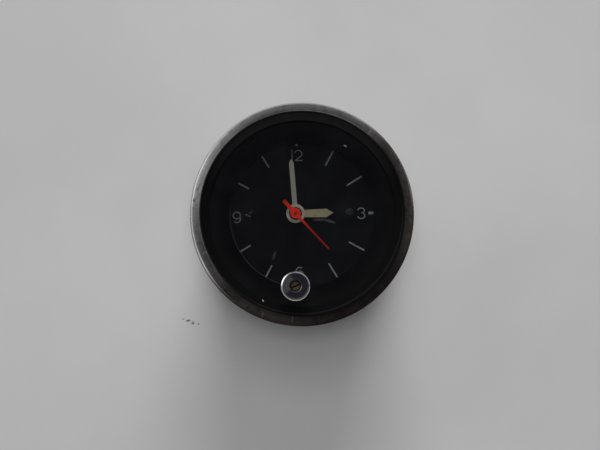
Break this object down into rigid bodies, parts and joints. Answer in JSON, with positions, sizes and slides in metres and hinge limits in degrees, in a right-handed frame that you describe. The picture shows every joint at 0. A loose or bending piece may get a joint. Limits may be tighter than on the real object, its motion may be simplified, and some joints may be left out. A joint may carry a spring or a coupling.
{
  "type": "car dashboard clock",
  "caption": "Round panel clock in a chrome bezel: glass over a masked black dial, hour, minute and red seconds hands, push-and-turn setting knob, geared movement in a steel can",
  "frame": {"origin": "on the case axis in the plane of the panel face, where the bezel's lip seats", "axes": "+Z out of the panel towards the viewer, +Y towards twelve o'clock, +X towards three o'clock"},
  "size_m": [0.06, 0.06, 0.062],
  "materials": {
    "bezel_chrome": "polished, pitted and worn at its lower edge",
    "knob_chrome": "polished",
    "glass": "clear, dusty",
    "lamp_glass": "clear",
    "rubber": "satin black",
    "mask_black": "satin black enamel",
    "dial_black": "matt black enamel",
    "hand_cream": "aged cream paint",
    "hand_red": "orange-red paint",
    "bush_dark": "blackened brass",
    "zinc_steel": "dull zinc plate",
    "steel": "bright turned steel",
    "blued_steel": "blued spring steel",
    "iron": "soft iron",
    "brass": "turned brass",
    "screw_brass": "tarnished brass",
    "insulator": "brown phenolic",
    "holder_plastic": "black moulding",
    "copper_wire": "enamelled copper wire"
  },
  "bodies": {
    "case": {"bezel": "bezel_chrome", "lens": "glass", "lens_seal": "rubber", "mask_ring": "mask_black", "dial": "dial_black", "can": "zinc_steel", "mounting_studs": "steel", "power_blade": "brass", "blade_insulator": "insulator", "lamp_holder": "holder_plastic", "lamp": "lamp_glass", "front_plate": "brass", "back_plate": "brass", "pillars": "brass", "pillar_screws": "steel", "case_posts": "brass", "case_screws": "steel", "motion_post": "steel", "stem_guide": "brass", "stem_spring": "steel", "bobbin": "insulator", "winding": "copper_wire", "magnet_core": "iron", "drive_spring": "steel", "spring_post": "steel", "contact_post": "brass", "contact_insulator": "insulator", "hairspring_stud": "brass"},
    "minute": {"minute_hand": "hand_cream", "minute_bush": "bush_dark", "cannon_pinion": "brass"},
    "hour": {"hour_hand": "hand_cream", "hour_wheel": "brass"},
    "motion": {"motion_wheel": "brass"},
    "seconds": {"seconds_hand": "hand_red", "seconds_arbor": "steel", "fourth_wheel": "brass"},
    "centre": {"centre_wheel": "brass", "centre_arbor": "steel"},
    "third": {"third_wheel": "brass", "third_arbor": "steel", "ratchet_wheel": "brass"},
    "escape": {"escape_wheel": "brass", "escape_arbor": "steel"},
    "pallet": {"pallet_lever": "steel"},
    "balance": {"balance_wheel": "brass", "balance_staff": "steel", "hairspring": "blued_steel"},
    "regulator": {"regulator": "steel"},
    "armature": {"armature": "iron"},
    "push": {"spring_washer": "steel"},
    "knob": {"setting_stem": "steel", "setting_pinion": "brass", "setting_knob": "knob_chrome", "knob_screw": "screw_brass", "stem_clip": "steel"}
  },
  "joints": [
    {"name": "seconds_turn", "type": "hinge", "parent": "case", "child": "seconds", "pos_m": [-0.0017, 0.0003, -0.012], "axis": [0, 0, 1], "continuous": true},
    {"name": "centre_turn", "type": "hinge", "parent": "case", "child": "centre", "pos_m": [-0.0017, 0.0003, -0.011], "axis": [0, 0, 1], "continuous": true},
    {"name": "third_turn", "type": "hinge", "parent": "case", "child": "third", "pos_m": [-0.00949, 0.0048, -0.017], "axis": [0, 0, 1], "continuous": true},
    {"name": "escape_turn", "type": "hinge", "parent": "case", "child": "escape", "pos_m": [0.00519, 0.00609, -0.017], "axis": [0, 0, 1], "continuous": true},
    {"name": "minute_turn", "type": "hinge", "parent": "case", "child": "minute", "pos_m": [-0.0017, 0.0003, -0.005], "axis": [0, 0, 1], "continuous": true},
    {"name": "hour_turn", "type": "hinge", "parent": "case", "child": "hour", "pos_m": [-0.0017, 0.0003, -0.005], "axis": [0, 0, 1], "continuous": true},
    {"name": "motion_turn", "type": "hinge", "parent": "case", "child": "motion", "pos_m": [-0.00069, -0.0092, -0.008], "axis": [0, 0, 1], "continuous": true},
    {"name": "pallet_rock", "type": "hinge", "parent": "case", "child": "pallet", "pos_m": [0.0088, 0.00356, -0.017], "axis": [0, 0, 1], "range_deg": [-4, 4]},
    {"name": "balance_swing", "type": "hinge", "parent": "case", "child": "balance", "pos_m": [0.01339, 0.00035, -0.017], "axis": [0, 0, 1], "range_deg": [-135, 135], "stiffness_Nm_per_rad": 0.000001, "deforming": ["hairspring"]},
    {"name": "regulator_shift", "type": "hinge", "parent": "case", "child": "regulator", "pos_m": [0.01339, 0.00035, -0.0235], "axis": [0, 0, 1], "range_deg": [-12, 12]},
    {"name": "armature_swing", "type": "hinge", "parent": "case", "child": "armature", "pos_m": [-0.00949, 0.0048, -0.0145], "axis": [0, 0, 1], "range_deg": [-20, 0], "deforming": ["drive_spring"]},
    {"name": "knob_push", "type": "slide", "parent": "case", "child": "push", "axis": [0, 0, 1], "range_m": [-0.0022, 0], "stiffness_N_per_m": 300, "springref_m": 0.003, "deforming": ["stem_spring"]},
    {"name": "knob_turn", "type": "hinge", "parent": "push", "child": "knob", "pos_m": [-0.00165, -0.0195, -0.005], "axis": [0, 0, 1], "continuous": true}
  ],
  "couplings": [
    {"joint": "centre_turn", "follows": "seconds_turn", "ratio": 0.016667},
    {"joint": "third_turn", "follows": "seconds_turn", "ratio": -0.13333},
    {"joint": "escape_turn", "follows": "seconds_turn", "ratio": -7.5},
    {"joint": "motion_turn", "follows": "minute_turn", "ratio": -0.33333},
    {"joint": "hour_turn", "follows": "minute_turn", "ratio": 0.083333}
  ]
}
